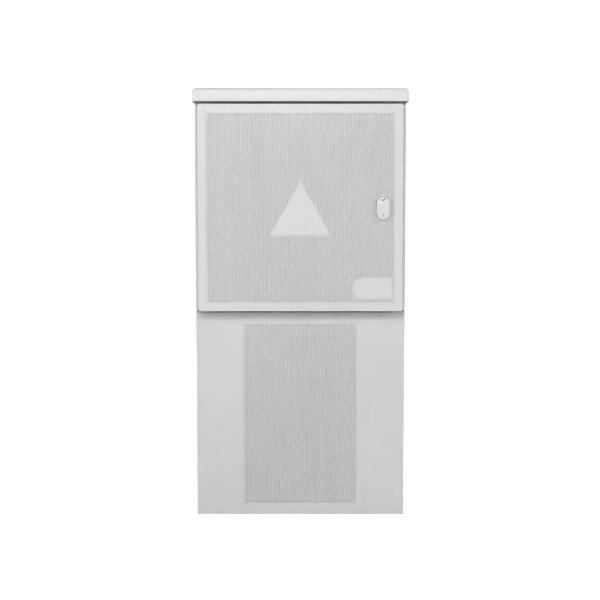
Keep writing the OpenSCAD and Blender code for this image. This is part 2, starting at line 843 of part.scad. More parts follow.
module escutcheon() {
    color(pale) difference() {
        slab(face_y - escutcheon_t, face_y) lock_oval(escutcheon_rim);
        y_bar(lock_x, lock_z, spindle_r + run_fit, face_y - escutcheon_t - 1, face_y + 1);
        y_bar(lock_x, cover_pin_z, cover_pin_r + run_fit, face_y - escutcheon_t - 1, face_y + 1);
    }
}

module lock_cover() {
    dot_r = 2.5;
    color(pale) difference() {
        slab(cover_y0, cover_y1) lock_oval(0);
        y_bar(lock_x, cover_pin_z, cover_pin_r + run_fit, cover_y0 - 1, cover_y1 + 1);
        y_bar(lock_x, lock_z - cover_h / 2 + cover_pin_in, dot_r, cover_y0 - 1, cover_y0 + cover_t / 3);
    }
}

module lock_cover_pin() {
    head_t = 1.2;
    head_r = cover_pin_r + 1.5;
    color(zinc) {
        y_bar(lock_x, cover_pin_z, cover_pin_r, cover_y0 - eps, panel_y);
        y_bar(lock_x, cover_pin_z, head_r, cover_y0 - air - head_t, cover_y0 - air);
        y_bar(lock_x, cover_pin_z, head_r, panel_y, panel_y + head_t);
    }
}

module lock_spindle() {
    front = face_y - escutcheon_t + spindle_sunk;
    shoulder = rod_y0 - case_play;
    flange_r = spindle_r + 3;
    flange_t = 3;
    tail = 1.5;
    color(zinc) difference() {
        union() {
            y_bar(lock_x, lock_z, spindle_r, front, shoulder);
            y_bar(lock_x, lock_z, flange_r, panel_y + air, panel_y + air + flange_t);
            y_bar(lock_x, lock_z, spindle_tail_r, shoulder - eps, case_y1 + tail);
        }
        block([lock_x - key_w / 2, front - 1, lock_z - key_w / 2],
            [lock_x + key_w / 2, front + key_deep, lock_z + key_w / 2]);
    }
}

// Rolled-off flank of a tooth: angle from the tooth's middle at radius r
function flank(r, base_r) = let (c = base_r / r) sqrt(1 / (c * c) - 1) * 180 / PI - acos(c);

// Outline of the pinion, tooth by tooth
function pinion_outline() =
    let (base_r = pitch_r * cos(pressure_angle), tip_r = pitch_r + tooth_top, foot_r = pitch_r - tooth_foot)
    let (half = 90 / teeth - backlash / 2 / pitch_r * 180 / PI + flank(pitch_r, base_r))
    let (rs = [foot_r, base_r, (base_r + pitch_r) / 2, pitch_r, (pitch_r + tip_r) / 2, tip_r])
    let (as = [for (r = rs) half - (r > base_r ? flank(r, base_r) : 0)])
    [for (t = [0 : teeth - 1]) each concat(
        [for (i = [0 : 5]) rs[i] * [cos(360 * t / teeth - as[i]), sin(360 * t / teeth - as[i])]],
        [for (i = [5 : -1 : 0]) rs[i] * [cos(360 * t / teeth + as[i]), sin(360 * t / teeth + as[i])]])];

module lock_pinion() {
    color(zinc) difference() {
        translate([lock_x, 0, lock_z]) slab(rod_y0, rod_y1) polygon(pinion_outline());
        y_bar(lock_x, lock_z, spindle_tail_r + run_fit, rod_y0 - 1, rod_y1 + 1);
    }
}

rack_spare = 6;
rack_run = rod_travel + rack_spare;

// Outline of a rod with a rack on its right: the pitch line at x = -pitch_r, the rack from low to high
function rack_outline(low, high, end) =
    let (pitch = PI * tooth_m, n = floor((high - low) / pitch) + 1)
    let (half = pitch / 4 - backlash / 2)
    let (top = half - tooth_top * tan(pressure_angle), foot = half + tooth_foot * tan(pressure_angle))
    let (first = ceil(low / pitch - 0.5) + 0.5)
    concat(
        [[-rod_far, low - pitch], [-rack_root, low - pitch]],
        [for (i = [0 : n - 1]) let (z = (first + i) * pitch)
            each [[-rack_root, z - foot], [-pitch_r + tooth_top, z - top],
                [-pitch_r + tooth_top, z + top], [-rack_root, z + foot]]],
        [[-rack_root, end], [-rod_far, end]]);

module rod(end) {
    slab(rod_y0, rod_y1) polygon(rack_outline(-rack_run, rack_spare, end));
}

module upper_rod() {
    color(zinc) translate([lock_x, 0, lock_z]) rod(neck_z1 - wall - rod_end_gap - lock_z);
}

module lower_rod() {
    color(zinc) translate([lock_x, 0, lock_z]) rotate([0, 180, 0])
        rod(lock_z - neck_z0 - wall - rod_end_gap);
}

module lock_case() {
    rod_hole_w = rod_w + 2 * air;
    color(zinc) difference() {
        union() {
            block([lock_x - case_hw, panel_y, lock_z - case_half],
                [lock_x + case_hw, case_y1, lock_z + case_half]);
            for (z = case_screw_zs)
                block([lock_x - case_tab_w / 2, boss_y, z - case_tab / 2 - eps],
                    [lock_x + case_tab_w / 2, boss_y + leaf, z + case_tab / 2 + eps]);
        }
        block([lock_x - case_hw + case_wall, panel_y - 1, lock_z - case_half + case_wall],
            [lock_x + case_hw - case_wall, case_y1 - case_wall, lock_z + case_half - case_wall]);
        y_bar(lock_x, lock_z, spindle_tail_r + run_fit, case_y1 - case_wall - 1, case_y1 + 1);
        for (z = case_screw_zs)
            y_bar(lock_x, z, screw_r + bolt_fit, boss_y - eps, boss_y + leaf + eps);
        block([rod_xs[0] - rod_hole_w / 2, rod_y0 - air, lock_z + case_half - case_wall - eps],
            [rod_xs[0] + rod_hole_w / 2, rod_y1 + air, lock_z + case_half + eps]);
        block([rod_xs[1] - rod_hole_w / 2, rod_y0 - air, lock_z - case_half - eps],
            [rod_xs[1] + rod_hole_w / 2, rod_y1 + air, lock_z - case_half + case_wall + eps]);
    }
}

// Bridge that keeps a rod in line behind the door
module rod_guide(i) {
    x = rod_xs[i];
    z = guide_zs[i];
    hole = rod_w / 2 + air;
    out = hole + case_wall;
    end = 3;
    color(zinc) difference() {
        union() {
            block([x - out, panel_y, z - guide_half], [x + out, rod_y1 + air + case_wall, z + guide_half]);
            block([x - out - guide_tab, boss_y, z - guide_half],
                [x - out + eps, boss_y + leaf, z + guide_half]);
        }
        block([x - hole, rod_y0 - air, z - guide_half - 1], [x + hole, rod_y1 + air, z + guide_half + 1]);
        block([x - hole, panel_y - 1, z - guide_half + end],
            [x + hole, rod_y0 - air - case_wall, z + guide_half - end]);
        y_bar(x - guide_screw_dx, z, screw_r + bolt_fit, boss_y - eps, boss_y + leaf + eps);
    }
}

module upper_rod_guide() { rod_guide(0); }
module lower_rod_guide() { rod_guide(1); }

module door_screws() {
    color(zinc) for (p = door_bosses())
        y_bolt(p[0], p[1], boss_y + leaf, -1, leaf + door_boss_h - blind_floor,
            screw_r, screw_head_r, screw_head_h, $fn);
}

// Equipment

// Places of the posts behind the mounting plate
function post_places() =
    [for (x = [-post_xs, post_xs], z = [plate_z0 + post_dz, plate_z1 - post_dz]) [x, z]];

module mounting_plate() {
    color(zinc) difference() {
        block([-plate_w / 2, plate_y0, plate_z0], [plate_w / 2, plate_y1, plate_z1]);
        for (p = post_places())
            y_bar(p[0], p[1], bolt_r + bolt_fit, plate_y0 - 1, plate_y1 + 1);
    }
}

module plate_posts() {
    stud_out = 8;
    color(slate) for (p = post_places()) {
        y_bar(p[0], p[1], post_r, plate_y1, rear_in);
        y_bar(p[0], p[1], bolt_r, plate_y0 - stud_out, plate_y1 + eps);
    }
}

module plate_nuts() {
    color(zinc) for (p = post_places()) difference() {
        y_bar(p[0], p[1], bolt_head_r, plate_y0 - nut_h, plate_y0, 6);
        y_bar(p[0], p[1], bolt_r + run_fit, plate_y0 - nut_h - 1, plate_y0 + 1);
    }
}

// Base of a fuse switch: open pole chambers and the ears that carry the lid
module fuse_base(x) {
    chamber_w = pole_pitch - pole_wall;
    color(slate) translate([x, 0, 0]) difference() {
        union() {
            block([-fuse_w / 2, base_y0, fuse_z0], [fuse_w / 2, plate_y0, fuse_z1]);
            for (s = [-1, 1])
                translate([s * (fuse_w - ear_t) / 2, 0, 0])
                    block([-ear_t / 2, lid_pivot_y - ear_out, fuse_z0],
                        [ear_t / 2, base_y0 + eps, fuse_z0 + ear_h]);
        }
        for (dx = pole_dxs)
            block([dx - chamber_w / 2, base_y0 - 1, fuse_z0 + chamber_end],
                [dx + chamber_w / 2, pocket_y, fuse_z1 - chamber_end]);
        x_bar(lid_pivot_y, lid_pivot_z, trunnion_r + run_fit, -fuse_w / 2 - 1, fuse_w / 2 + 1);
    }
}

// Lower corner of a fuse switch's lid beside an ear: cheek, hub and trunnion, on the right
module lid_corner(hw, inner_hw) {
    block([inner_hw - cheek_t, lid_y0, lid_z0], [inner_hw, lid_y1, fuse_z0 + ear_h + cheek_t]);
    x_bar(lid_pivot_y, lid_pivot_z, hub_r, inner_hw - cheek_t, inner_hw);
    x_bar(lid_pivot_y, lid_pivot_z, trunnion_r, inner_hw - trunnion_in, hw - trunnion_in);
}

module lid_grip() {
    y0 = lid_y0 - grip_out;
    z0 = lid_z1 - grip_down;
    block([-grip_w / 2, y0, z0], [grip_w / 2, y0 + grip_t, z0 + grip_h]);
    for (x = [-grip_w / 2, grip_w / 2 - grip_leg])
        block([x, y0, z0], [x + grip_leg, lid_y0 + eps, z0 + grip_h]);
}

// Lid of a fuse switch with its grip, windows, link holders and trunnions
module fuse_lid(x) {
    hw = fuse_w / 2;
    inner_hw = hw - ear_t - lid_gap;
    ear_top = fuse_z0 + ear_h;
    window_z = link_z - window_down;
    color(dark) translate([x, 0, 0]) difference() {
        union() {
            difference() {
                block([-hw, lid_y0, lid_z0], [hw, lid_y1, lid_z1]);
                block([-hw + lid_wall, lid_y0 + lid_wall, lid_z0 + lid_wall],
                    [hw - lid_wall, lid_y1 + 1, lid_z1 - lid_wall]);
                for (s = [-hw, hw])
                    block([s - ear_t - lid_gap, lid_y0 - 1, lid_z0 - 1],
                        [s + ear_t + lid_gap, lid_y1 + 1, ear_top + ear_gap]);
            }
            for (s = [0, 1]) mirror([s, 0, 0]) lid_corner(hw, inner_hw);
            block([-inner_hw, lid_y0, ear_top + sill_z0], [inner_hw, lid_y0 + lid_wall, ear_top + sill_z1]);
            for (dx = pole_dxs)
                block([dx - holder_w / 2, lid_y0 + eps, link_z - holder_h / 2],
                    [dx + holder_w / 2, link_y0, link_z + holder_h / 2]);
            lid_grip();
        }
        for (dx = pole_dxs)
            block([dx - window_w / 2, lid_y0 - 1, window_z - window_h],
                [dx + window_w / 2, lid_y0 + lid_wall + 1, window_z]);
    }
}

// Fuse links of one switch: ceramic body with a lower and an upper blade
module fuse_links(x) {
    color(ivory) for (dx = pole_dxs)
        translate([x + dx, 0, 0]) {
            block([-link_w / 2, link_y0, link_z - link_h / 2], [link_w / 2, link_y1, link_z + link_h / 2]);
            block([-blade_t / 2, link_y0 + blade_front, blade_zs[0]],
                [blade_t / 2, base_y0 + blade_in, blade_zs[0] + blade_h + blade_root]);
            block([-blade_t / 2, link_y0 + blade_front, blade_zs[1] - blade_root],
                [blade_t / 2, base_y0 + blade_in, blade_zs[1] + blade_h]);
        }
}

// Sprung contacts in the bases, one fork for each blade
module fuse_jaws() {
    in = blade_t / 2 + jaw_gap;
    out = in + jaw_t;
    end = 1;
    color(copper) for (x = fuse_xs, dx = pole_dxs, z = blade_zs)
        translate([x + dx, 0, z]) difference() {
            block([-out, base_y0 + jaw_t, end], [out, pocket_y, blade_h - end]);
            block([-in, base_y0, 0], [in, pocket_y - jaw_floor, blade_h]);
        }
}

module fuse_base_1() { fuse_base(fuse_xs[0]); }
module fuse_base_2() { fuse_base(fuse_xs[1]); }
module fuse_base_3() { fuse_base(fuse_xs[2]); }
module fuse_lid_1() { fuse_lid(fuse_xs[0]); }
module fuse_lid_2() { fuse_lid(fuse_xs[1]); }
module fuse_lid_3() { fuse_lid(fuse_xs[2]); }
module fuse_links_1() { fuse_links(fuse_xs[0]); }
module fuse_links_2() { fuse_links(fuse_xs[1]); }
module fuse_links_3() { fuse_links(fuse_xs[2]); }

function bar_z(k) = bar_z0 + k * bar_rise;
function bar_y(k) = plate_y0 - bar_off - bar_t / 2 - k * bar_step;

// Comb busbar of phase k, with a tongue down to each fuse switch
module busbar(k) {
    y = bar_y(k);
    color(copper) {
        block([-bar_hw, y - bar_t / 2, bar_z(k)], [bar_hw, y + bar_t / 2, bar_z(k) + bar_h]);
        for (x = fuse_xs)
            translate([x + pole_dxs[k], 0, 0])
                block([-tongue_w / 2, y - bar_t / 2, fuse_z1], [tongue_w / 2, y + bar_t / 2, bar_z(k) + eps]);
    }
}

module busbar_l1() { busbar(0); }
module busbar_l2() { busbar(1); }
module busbar_l3() { busbar(2); }

// Insulating combs that hold the three busbars off the plate
module busbar_supports() {
    fit = 0.1;
    color(slate) for (x = support_xs) difference() {
        block([x - support_half, bar_y(2) - bar_t / 2 - support_wall, bar_z(0) - support_wall],
            [x + support_half, plate_y0, bar_z(2) + bar_h + support_wall]);
        for (k = [0 : 2])
            block([x - support_half - 1, bar_y(k) - bar_t / 2 - fit, bar_z(k) - fit],
                [x + support_half + 1, bar_y(k) + bar_t / 2 + fit, bar_z(k) + bar_h + fit]);
    }
}

pen_bolt_xs = [for (i = [-2.5 : 2.5]) i * (pen_support_x - pen_support_in) / 2.5];

module pen_bar() {
    color(copper) difference() {
        block([-pen_hw, pen_y - bar_t, pen_z - pen_h / 2], [pen_hw, pen_y, pen_z + pen_h / 2]);
        for (x = concat(pen_bolt_xs, [-pen_support_x, pen_support_x]))
            y_bar(x, pen_z, bolt_r + bolt_fit, pen_y - bar_t - 1, pen_y + 1);
    }
}

module pen_supports() {
    color(slate) for (x = [-pen_support_x, pen_support_x]) difference() {
        y_bar(x, pen_z, pen_support_r, pen_y, plate_y0);
        y_bar(x, pen_z, bolt_r + run_fit, pen_y - 1, pen_y + pen_hole);
    }
}

module pen_bolts() {
    seat = pen_y - bar_t;
    color(zinc) {
        for (x = pen_bolt_xs) {
            y_bolt(x, pen_z, seat, 1, bar_t + nut_h, bolt_r, bolt_head_r, bolt_head_h);
            y_bar(x, pen_z, bolt_head_r, pen_y, pen_y + nut_h, 6);
        }
        for (x = [-pen_support_x, pen_support_x])
            y_bolt(x, pen_z, seat, 1, bar_t + pen_hole - blind_floor, bolt_r, bolt_head_r, bolt_head_h);
    }
}

// Plinth

plinth_f0 = plinth_y + wall;
anchor_x = body_hw - anchor_in;
anchor_ys = [plinth_y + anchor_end, back_y - anchor_end];
// Plane that the rail's bolts stop short of, behind the valleys of the side's ribs
rail_bolt_x1 = body_hw - field_deep - tip_gap;

module plinth_side() {
    difference() {
        side_panel(plinth_f0, back_y, plinth_f0, rear_in, 0, plinth_h, plinth_field_end, plinth_rib_pitch);
        upright_holes(joint_ys, flange_bolt_x, bolt_r + bolt_fit, plinth_h - wall);
        upright_holes(anchor_ys, anchor_x, anchor_r, 0);
        for (z = rail_bolt_zs)
            x_bar(rail_mid_y, z, bolt_r + run_fit, body_hw - wall - 1, rail_bolt_x1);
    }
}

module plinth_right() {
    color(grey) plinth_side();
}

module plinth_left() {
    color(grey) mirror([1, 0, 0]) plinth_side();
}

// Plan of the plinth's front panel, with rounded front corners
function plinth_plan(r) = concat(
    [for (a = [180 : 15 : 270]) [-body_hw + r, plinth_y + r] + r * [cos(a), sin(a)]],
    [for (a = [270 : 15 : 360]) [body_hw - r, plinth_y + r] + r * [cos(a), sin(a)]],
    [[body_hw, plinth_y + wall], [-body_hw, plinth_y + wall]]);

module plinth_front() {
    edge_r = 3;
    half = plinth_field_w / 2;
    z0 = plinth_field_end;
    z1 = plinth_h - plinth_field_end;
    color(grey) {
        difference() {
            linear_extrude(plinth_h) polygon(plinth_plan(edge_r));
            block([-half, plinth_y - 1, z0], [half, plinth_y + field_deep, z1]);
            flange_bolt_holes(plinth_f0, -1, 0, plinth_h);
        }
        ribs(half, plinth_rib_pitch, plinth_y, z0, z1);
    }
}

module plinth_rear() {
    color(grey) rear_panel(0, plinth_h, rear_field_w, plinth_field_end, plinth_rib_pitch);
}

module plinth_bolts() {
    color(zinc) {
        flange_bolts(rear_in, 1, 0, plinth_h);
        flange_bolts(plinth_f0, -1, 0, plinth_h);
    }
}

module joint_bolts() {
    tail = 2;
    color(zinc) for (x = [-flange_bolt_x, flange_bolt_x], y = joint_ys)
        translate([x, y, plinth_h]) {
            translate([0, 0, wall]) cylinder(r = bolt_head_r, h = bolt_head_h, $fn = 6);
            translate([0, 0, -wall - nut_h - tail]) cylinder(r = bolt_r, h = 2 * wall + nut_h + tail + eps);
            translate([0, 0, -wall - nut_h]) cylinder(r = bolt_head_r, h = nut_h, $fn = 6);
        }
}

// C-section rail across the plinth, its slot to the front
module cable_rail() {
    color(zinc) translate([-rail_hw, 0, rail_z]) rotate([90, 0, 90]) linear_extrude(2 * rail_hw) difference() {
        translate([rail_y, 0]) square([rail_d, rail_h]);
        translate([rail_y + rail_t, rail_t]) square([rail_d - 2 * rail_t, rail_h - 2 * rail_t]);
        translate([rail_y - 1, rail_lip]) square([rail_t + 2, rail_h - 2 * rail_lip]);
    }
}

// Angle brackets that carry the rail's ends
module rail_brackets() {
    x1 = body_hw - wall;
    y0 = rail_y - bracket_rim;
    y1 = rail_y + rail_d + bracket_rim;
    color(zinc) for (s = [0, 1]) mirror([s, 0, 0]) difference() {
        union() {
            block([x1 - bracket_t, y0, rail_z - bracket_leg], [x1, y1, rail_z]);
            block([x1 - bracket_reach, y0, rail_z - bracket_t], [x1, y1, rail_z]);
        }
        for (z = rail_bolt_zs)
            x_bar(rail_mid_y, z, bolt_r + bolt_fit, x1 - bracket_t - 1, x1 + 1);
    }
}

// Bowed cable saddles on the rail's front
module cable_saddles() {
    hw = saddle_r + saddle_t + saddle_foot;
    half = saddle_half;
    color(slate) for (x = saddle_xs) translate([x, rail_y, rail_z + rail_h / 2]) difference() {
        union() {
            translate([0, 0, -half]) cylinder(r = saddle_r + saddle_t, h = 2 * half);
            block([-hw, -saddle_t, -half], [hw, 0, half]);
        }
        translate([0, 0, -half - 1]) cylinder(r = saddle_r, h = 2 * half + 2);
        block([-hw - 1, 0, -half - 1], [hw + 1, saddle_r + 2 * saddle_t, half + 1]);
        for (s = [-1, 1])
            y_bar(s * saddle_bolt_dx, 0, bolt_r + bolt_fit, -saddle_t - 1, 1);
    }
}

// Bolts of saddles and brackets
module saddle_bolts() {
    x1 = body_hw - wall - bracket_t;
    z_mid = rail_z + rail_h / 2;
    nut_half = rail_h / 2 - rail_t - rail_nut_gap;
    color(zinc) {
        for (x = saddle_xs, s = [-1, 1]) {
            bx = x + s * saddle_bolt_dx;
            y_bolt(bx, z_mid, rail_y - saddle_t, 1, saddle_t + rail_t + rail_nut_t,
                bolt_r, bolt_head_r, bolt_head_h);
            block([bx - rail_nut_w / 2, rail_y + rail_t, z_mid - nut_half],
                [bx + rail_nut_w / 2, rail_y + rail_t + rail_nut_t, z_mid + nut_half]);
        }
        for (s = [0, 1], z = rail_bolt_zs) mirror([s, 0, 0]) {
            x_bar(rail_mid_y, z, bolt_head_r, x1 - bolt_head_h, x1);
            x_bar(rail_mid_y, z, bolt_r, x1 - eps, rail_bolt_x1 - tip_gap);
        }
    }
}

roof();
roof_screws();
left_wall();
right_wall();
rear_wall();
front_frame();
wall_bolts();
door();
door_seal();
upper_hinge_arm();
lower_hinge_arm();
upper_hinge_bracket();
lower_hinge_bracket();
upper_hinge_pin();
lower_hinge_pin();
hinge_bolts();
escutcheon();
lock_cover();
lock_cover_pin();
lock_spindle();
lock_pinion();
lock_case();
upper_rod();
lower_rod();
upper_rod_guide();
lower_rod_guide();
door_screws();
mounting_plate();
plate_posts();
plate_nuts();
fuse_base_1();
fuse_base_2();
fuse_base_3();
fuse_lid_1();
fuse_lid_2();
fuse_lid_3();
fuse_links_1();
fuse_links_2();
fuse_links_3();
fuse_jaws();
busbar_l1();
busbar_l2();
busbar_l3();
busbar_supports();
pen_bar();
pen_supports();
pen_bolts();
plinth_front();
plinth_rear();
plinth_left();
plinth_right();
plinth_bolts();
joint_bolts();
cable_rail();
rail_brackets();
cable_saddles();
saddle_bolts();
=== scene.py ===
import json
import math
import bmesh
import bpy
from mathutils import Matrix, Vector


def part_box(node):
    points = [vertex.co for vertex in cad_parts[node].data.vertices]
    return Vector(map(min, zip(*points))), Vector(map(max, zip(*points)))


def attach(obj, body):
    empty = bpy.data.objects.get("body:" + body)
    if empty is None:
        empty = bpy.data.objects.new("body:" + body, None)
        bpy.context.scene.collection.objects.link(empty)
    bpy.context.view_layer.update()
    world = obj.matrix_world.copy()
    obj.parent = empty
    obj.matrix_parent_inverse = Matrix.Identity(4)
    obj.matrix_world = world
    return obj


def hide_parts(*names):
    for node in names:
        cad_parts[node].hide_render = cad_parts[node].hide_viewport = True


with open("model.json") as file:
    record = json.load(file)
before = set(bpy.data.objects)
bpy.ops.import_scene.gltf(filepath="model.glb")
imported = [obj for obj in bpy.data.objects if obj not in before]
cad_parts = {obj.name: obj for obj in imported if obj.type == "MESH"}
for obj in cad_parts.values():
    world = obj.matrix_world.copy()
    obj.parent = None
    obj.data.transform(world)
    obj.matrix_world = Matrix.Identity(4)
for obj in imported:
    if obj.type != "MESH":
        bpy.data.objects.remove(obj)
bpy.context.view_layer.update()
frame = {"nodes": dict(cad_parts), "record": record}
nodes = frame["nodes"]
bodies = frame["record"]["behaviour"]["bodies"]
bodyOf = {node: body for body, members in bodies.items() for node in members}
slotOf = {part["node"]: part["material_slot"] for part in frame["record"]["subparts"]}
print("frame loaded:", len(nodes), "nodes")

# camera at the photograph's place: places in metres, pitch in degrees, lens and sensor in millimetres
cameraSetup = {
    "x": -0.0011, "distance": 3.394, "height": 0.8894, "pitch": -4.39,
    "lens": 72.0, "sensor": 36.0, "clipEnd": 200.0,
}


def makeCamera():
    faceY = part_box("door")[0][1]
    data = bpy.data.cameras.new("photoCamera")
    data.lens = cameraSetup["lens"]
    data.sensor_width = cameraSetup["sensor"]
    data.clip_end = cameraSetup["clipEnd"]
    camera = bpy.data.objects.new("photoCamera", data)
    bpy.context.scene.collection.objects.link(camera)
    camera.location = (cameraSetup["x"], faceY - cameraSetup["distance"], cameraSetup["height"])
    camera.rotation_euler = (math.radians(90 + cameraSetup["pitch"]), 0, 0)
    bpy.context.scene.camera = camera


makeCamera()
print("camera set")


# small helpers for the materials
def newMaterial(name):
    mat = bpy.data.materials.new(name)
    mat.use_nodes = True
    return mat, mat.node_tree, mat.node_tree.nodes["Principled BSDF"]


def addNode(tree, kind, inputs=None, **settings):
    node = tree.nodes.new(kind)
    for key, value in settings.items():
        setattr(node, key, value)
    for key, value in (inputs or {}).items():
        node.inputs[key].default_value = value
    return node


def objectCoords(tree):
    return addNode(tree, "ShaderNodeTexCoord").outputs["Object"]


def axesOf(tree, vector):
    split = addNode(tree, "ShaderNodeSeparateXYZ")
    tree.links.new(vector, split.inputs["Vector"])
    return split.outputs["X"], split.outputs["Y"], split.outputs["Z"]


def noiseFrom(tree, coords, look):
    mapping = addNode(tree, "ShaderNodeMapping", {"Scale": look.get("stretch", (1, 1, 1))})
    tree.links.new(coords, mapping.inputs["Vector"])
    noise = addNode(tree, "ShaderNodeTexNoise", {
        "Scale": look["scale"], "Detail": look["detail"], "Distortion": look.get("distortion", 0.0)})
    tree.links.new(mapping.outputs["Vector"], noise.inputs["Vector"])
    return noise.outputs["Fac"]


def rangeOf(tree, value, source, target=(0, 1)):
    node = addNode(tree, "ShaderNodeMapRange", {
        "From Min": source[0], "From Max": source[1], "To Min": target[0], "To Max": target[1]})
    tree.links.new(value, node.inputs["Value"])
    return node.outputs["Result"]


def mathOf(tree, operation, first, second):
    node = addNode(tree, "ShaderNodeMath", operation=operation)
    for i, value in enumerate((first, second)):
        if isinstance(value, (int, float)):
            node.inputs[i].default_value = value
        else:
            tree.links.new(value, node.inputs[i])
    return node.outputs["Value"]


def shadeOf(color, factor):
    return tuple(channel * factor for channel in color)


def tinted(tree, factor, low, high):
    ramp = addNode(tree, "ShaderNodeValToRGB")
    ramp.color_ramp.elements[0].color = (*low, 1)
    ramp.color_ramp.elements[1].color = (*high, 1)
    tree.links.new(factor, ramp.inputs["Fac"])
    return ramp.outputs["Color"]


def darkened(tree, color, factor, shade):
    mix = addNode(tree, "ShaderNodeMix", data_type="RGBA", blend_type="MULTIPLY")
    mix.inputs["B"].default_value = (*shade, 1)
    tree.links.new(factor, mix.inputs["Factor"])
    tree.links.new(color, mix.inputs["A"])
    return mix.outputs["Result"]


# roughness that follows a noise, around a base value
def dullBy(tree, shader, noise, rough, look):
    target = (rough + look["dull"][0], rough + look["dull"][1])
    tree.links.new(rangeOf(tree, noise, look["dullRange"], target), shader.inputs["Roughness"])


def bumpFrom(tree, coords, shader, looks):
    normal = None
    for look in looks:
        bump = addNode(tree, "ShaderNodeBump", {"Strength": look["strength"], "Distance": look["depth"]})
        tree.links.new(noiseFrom(tree, coords, look), bump.inputs["Height"])
        if normal:
            tree.links.new(normal, bump.inputs["Normal"])
        normal = bump.outputs["Normal"]
    tree.links.new(normal, shader.inputs["Normal"])


# pale glass-fibre mouldings: cloudy resin, fine mould texture, faint rain streaks and scuffs,
# and painted shadow at the top of the plinth under the door's overhang, which sets in between two heights
# in metres
mouldedFinish = {
    # one grey for all three mouldings, painted lightest on the body up top and darker on the door and the
    # plinth below it: painted light and shade for the light that falls off towards the foot
    "body": {"color": (0.608, 0.612, 0.623), "rough": 0.48},
    "door": {"color": (0.568, 0.573, 0.585), "rough": 0.33},
    "plinth": {"color": (0.534, 0.540, 0.553), "rough": 0.36, "paintedShadowBand": (0.556, 0.572)},
    "cloud": {"scale": 4.0, "detail": 4, "range": (0.3, 0.7), "spread": 0.02},
    "fleck": {"scale": 220.0, "detail": 2, "range": (0.45, 0.75), "shade": (0.98, 0.98, 0.98)},
    "streak": {"scale": 1.0, "detail": 3, "stretch": (26, 26, 1.4), "range": (0.52, 0.78),
               "shade": (0.965, 0.967, 0.97)},
    "scuff": {"scale": 9.0, "detail": 8, "distortion": 1.2, "range": (0.58, 0.70),
              "shade": (0.965, 0.966, 0.968), "dullRange": (0.35, 0.7), "dull": (-0.015, 0.03)},
    "paintedShadowShade": (0.90, 0.902, 0.905), "specular": 0.4,
    "wave": {"scale": 9.0, "detail": 2, "strength": 0.12, "depth": 0.0003},
    "peel": {"scale": 1500.0, "detail": 2, "strength": 0.25, "depth": 0.0001},
}


def mouldedMaterial(name, kind, field=None):
    finish = mouldedFinish
    own = finish[kind]
    mat, tree, shader = newMaterial(name)
    coords = objectCoords(tree)
    cloudy = rangeOf(tree, noiseFrom(tree, coords, finish["cloud"]), finish["cloud"]["range"])
    spread = finish["cloud"]["spread"]
    color = tinted(tree, cloudy, shadeOf(own["color"], 1 - spread), shadeOf(own["color"], 1 + spread))
    scuff = noiseFrom(tree, coords, finish["scuff"])
    marks = {
        "fleck": noiseFrom(tree, coords, finish["fleck"]),
        "streak": noiseFrom(tree, coords, finish["streak"]),
        "scuff": scuff,
    }
    for mark, noise in marks.items():
        color = darkened(tree, color, rangeOf(tree, noise, finish[mark]["range"]), finish[mark]["shade"])
    # painted shade: the crests of the ribbed fields are darkened to even out their light and the valleys'
    # shade
    if field:
        color = darkened(tree, color, paintedRibShade(tree, coords, field), field["shade"])
    # painted shadow: the top of the plinth is darkened where the door's overhang shades it
    if "paintedShadowBand" in own:
        height = axesOf(tree, coords)[2]
        color = darkened(tree, color, rangeOf(tree, height, own["paintedShadowBand"]), finish["paintedShadowShade"])
    tree.links.new(color, shader.inputs["Base Color"])
    dullBy(tree, shader, scuff, own["rough"], finish["scuff"])
    shader.inputs["Specular IOR Level"].default_value = finish["specular"]
    bumpFrom(tree, coords, shader, [finish["wave"], finish["peel"]])
    return mat


# painted shade on a ribbed field: darkest on the crests, nothing below them or outside, so that the lit
# crests match the shaded valleys and the field reads darker than the plain face
def paintedRibShade(tree, coords, field):
    x, y, z = axesOf(tree, coords)
    ribShading = rangeOf(tree, y, (field["faceY"], field["faceY"] + field["deep"]), (1, 0))
    limits = (
        mathOf(tree, "LESS_THAN", mathOf(tree, "ABSOLUTE", x, 0), field["halfWidth"]),
        mathOf(tree, "GREATER_THAN", z, field["low"]),
        mathOf(tree, "LESS_THAN", z, field["high"]),
        mathOf(tree, "GREATER_THAN", y, field["faceY"] - field["slack"]),
    )
    for limit in limits:
        ribShading = mathOf(tree, "MULTIPLY", ribShading, limit)
    return ribShading


# zinc-plated steel and silvered blades: spangle, dull patches
zincFinish = {
    "sheet": {"color": (0.60, 0.61, 0.63), "rough": 0.38, "spangle": 55.0},
    "fastener": {"color": (0.56, 0.57, 0.58), "rough": 0.30, "spangle": 240.0},
    "lock": {"color": (0.42, 0.43, 0.45), "rough": 0.28, "spangle": 320.0},
    "blade": {"color": (0.74, 0.73, 0.70), "rough": 0.22, "spangle": 400.0},
    "spread": 0.07,
    "patch": {"scale": 12.0, "detail": 6, "range": (0.52, 0.72), "shade": (0.80, 0.80, 0.79),
              "dullRange": (0.3, 0.7), "dull": (-0.06, 0.14)},
    "grain": {"scale": 900.0, "detail": 2, "strength": 0.15, "depth": 0.0001},
}


def zincMaterial(name, kind):
    own = zincFinish[kind]
    look = zincFinish["patch"]
    spread = zincFinish["spread"]
    mat, tree, shader = newMaterial(name)
    coords = objectCoords(tree)
    cells = addNode(tree, "ShaderNodeTexVoronoi", {"Scale": own["spangle"]})
    tree.links.new(coords, cells.inputs["Vector"])
    grey = addNode(tree, "ShaderNodeRGBToBW")
    tree.links.new(cells.outputs["Color"], grey.inputs["Color"])
    color = tinted(tree, grey.outputs["Val"], shadeOf(own["color"], 1 - spread),
                   shadeOf(own["color"], 1 + spread))
    patch = noiseFrom(tree, coords, look)
    color = darkened(tree, color, rangeOf(tree, patch, look["range"]), look["shade"])
    tree.links.new(color, shader.inputs["Base Color"])
    shader.inputs["Metallic"].default_value = 1.0
    dullBy(tree, shader, patch, own["rough"], look)
    bumpFrom(tree, coords, shader, [zincFinish["grain"]])
    return mat


